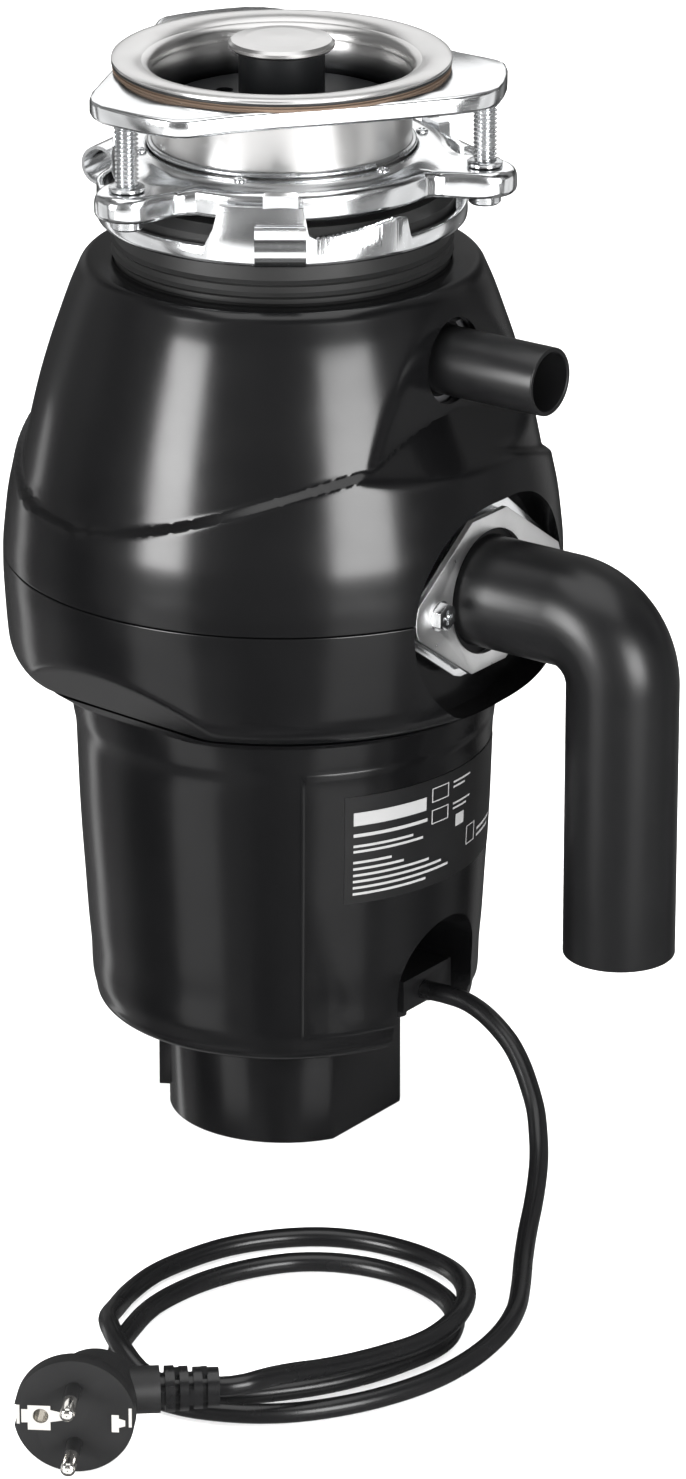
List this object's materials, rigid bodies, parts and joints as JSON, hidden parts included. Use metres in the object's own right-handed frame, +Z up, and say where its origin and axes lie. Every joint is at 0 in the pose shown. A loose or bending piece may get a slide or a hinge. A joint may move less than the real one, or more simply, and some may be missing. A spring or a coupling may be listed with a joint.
{
  "type": "kitchen garbage disposal",
  "caption": "Under-sink food waste grinder with a sink mount, black shell, discharge elbow, dishwasher inlet and a corded plug.",
  "frame": {"origin": "centre of the foot's flat underside, on the axis of the body", "axes": "+Z up along the motor shaft to the sink, +X the way the discharge outlet and dishwasher inlet point"},
  "size_m": [0.2772, 0.386, 0.3866],
  "materials": {
    "shell_black": "high gloss",
    "pipe_black": "satin",
    "label_dark": "satin film, blank",
    "bright_chrome": "mirror bright",
    "stainless": "brushed in circles",
    "zinc_steel": "zinc plated",
    "black_rubber": "matte",
    "fibre": "pressed fibre",
    "stopper_plastic": "gloss",
    "cast_aluminium": "as cast",
    "grind_steel": "satin",
    "motor_steel": "lacquered laminations",
    "copper": "enamelled wire",
    "bronze": "sintered",
    "cord_black": "satin",
    "plug_black": "satin",
    "nickel": "nickel plated brass",
    "reset_red": "gloss",
    "switch_grey": "satin",
    "terminal_ivory": "satin",
    "ground_green": "painted",
    "foam": "soft foam"
  },
  "bodies": {
    "disposer": {"sink_flange": "stainless", "rubber_gasket": "black_rubber", "fiber_gaskets": "fibre", "backup_plate": "bright_chrome", "mounting_bolts": "zinc_steel", "mounting_ring": "bright_chrome", "snap_ring": "zinc_steel", "rubber_mount": "black_rubber", "splash_guard": "black_rubber", "upper_shroud": "shell_black", "lower_shroud": "shell_black", "lower_housing": "shell_black", "foot_cover": "shell_black", "sound_jacket": "foam", "grind_chamber": "grind_steel", "shredder_ring": "grind_steel", "discharge_chamber": "cast_aluminium", "inlet_tube": "pipe_black", "outlet_gasket": "black_rubber", "outlet_backplate": "bright_chrome", "outlet_flange": "bright_chrome", "outlet_screws": "bright_chrome", "stator_core": "motor_steel", "stator_windings": "copper", "motor_shell": "motor_steel", "lower_end_bell": "cast_aluminium", "upper_bearing": "bronze", "lower_bearing": "bronze", "shaft_seal": "black_rubber", "housing_screws": "zinc_steel", "foot_screws": "zinc_steel", "start_switch": "switch_grey", "terminal_block": "terminal_ivory", "ground_screw": "ground_green", "overload_protector": "switch_grey", "cord_clamp": "pipe_black", "rating_label": "label_dark", "power_cord": "cord_black", "plug_boot": "cord_black", "plug_body": "plug_black", "plug_pins": "nickel", "plug_earth_contacts": "nickel"},
    "stopper": {"stopper_knob": "stainless", "stopper_post": "stopper_plastic", "stopper_body": "stopper_plastic", "stopper_seal": "black_rubber"},
    "lock_ring": {"lock_ring": "bright_chrome"},
    "rotor": {"motor_shaft": "zinc_steel", "rotor_core": "motor_steel", "turntable": "grind_steel", "turntable_nut": "zinc_steel", "impeller_pins": "zinc_steel"},
    "impeller_a": {"impeller_a": "grind_steel"},
    "impeller_b": {"impeller_b": "grind_steel"},
    "reset_button": {"reset_button": "reset_red"},
    "elbow": {"discharge_elbow": "pipe_black"}
  },
  "joints": [
    {"name": "stopper_lift", "type": "slide", "parent": "disposer", "child": "stopper", "axis": [0, 0, 1], "range_m": [0, 0.12]},
    {"name": "lock_ring_turn", "type": "hinge", "parent": "disposer", "child": "lock_ring", "pos_m": [0, 0, 0.328], "axis": [0, 0, 1], "range_deg": [0, 40]},
    {"name": "motor_spin", "type": "hinge", "parent": "disposer", "child": "rotor", "pos_m": [0, 0, 0.2275], "axis": [0, 0, 1], "continuous": true},
    {"name": "impeller_a_swing", "type": "hinge", "parent": "rotor", "child": "impeller_a", "pos_m": [0.031, 0, 0.231], "axis": [0, 0, 1], "continuous": true},
    {"name": "impeller_b_swing", "type": "hinge", "parent": "rotor", "child": "impeller_b", "pos_m": [-0.031, 0, 0.231], "axis": [0, 0, 1], "continuous": true},
    {"name": "reset_button_press", "type": "slide", "parent": "disposer", "child": "reset_button", "axis": [0, 0, 1], "range_m": [0, 0.0025], "stiffness_N_per_m": 400, "springref_m": -0.002},
    {"name": "elbow_swivel", "type": "hinge", "parent": "disposer", "child": "elbow", "pos_m": [0.084, 0, 0.208], "axis": [1, 0, 0], "range_deg": [-90, 90]}
  ]
}
